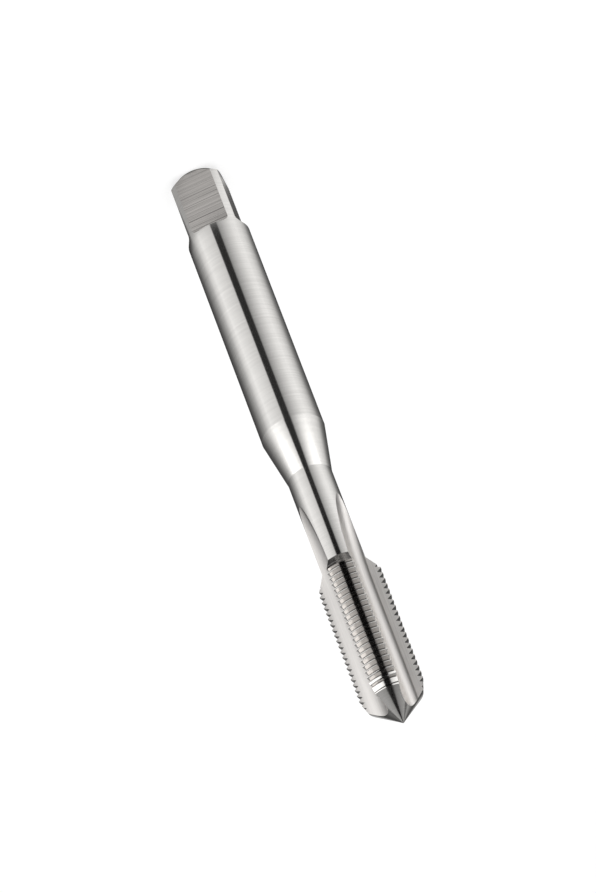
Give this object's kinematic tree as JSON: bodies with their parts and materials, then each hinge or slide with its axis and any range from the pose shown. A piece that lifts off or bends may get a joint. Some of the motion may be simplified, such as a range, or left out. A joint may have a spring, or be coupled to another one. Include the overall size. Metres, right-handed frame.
{
  "type": "thread tap",
  "caption": "Straight-flute hand thread tap with a round shank, a driving square, a waisted neck and a short threaded cutting end with a full point.",
  "frame": {"origin": "centre of the driving end's face, on the axis of the shank", "axes": "+Z along the axis towards the point; -Y out of one flat of the square and through the middle of one land. The tap stands on its driving end."},
  "size_m": [0.0064, 0.0063, 0.066],
  "materials": {
    "ground_steel": "bright ground high-speed steel"
  },
  "bodies": {
    "root": {"tap": "ground_steel"}
  },
  "joints": []
}
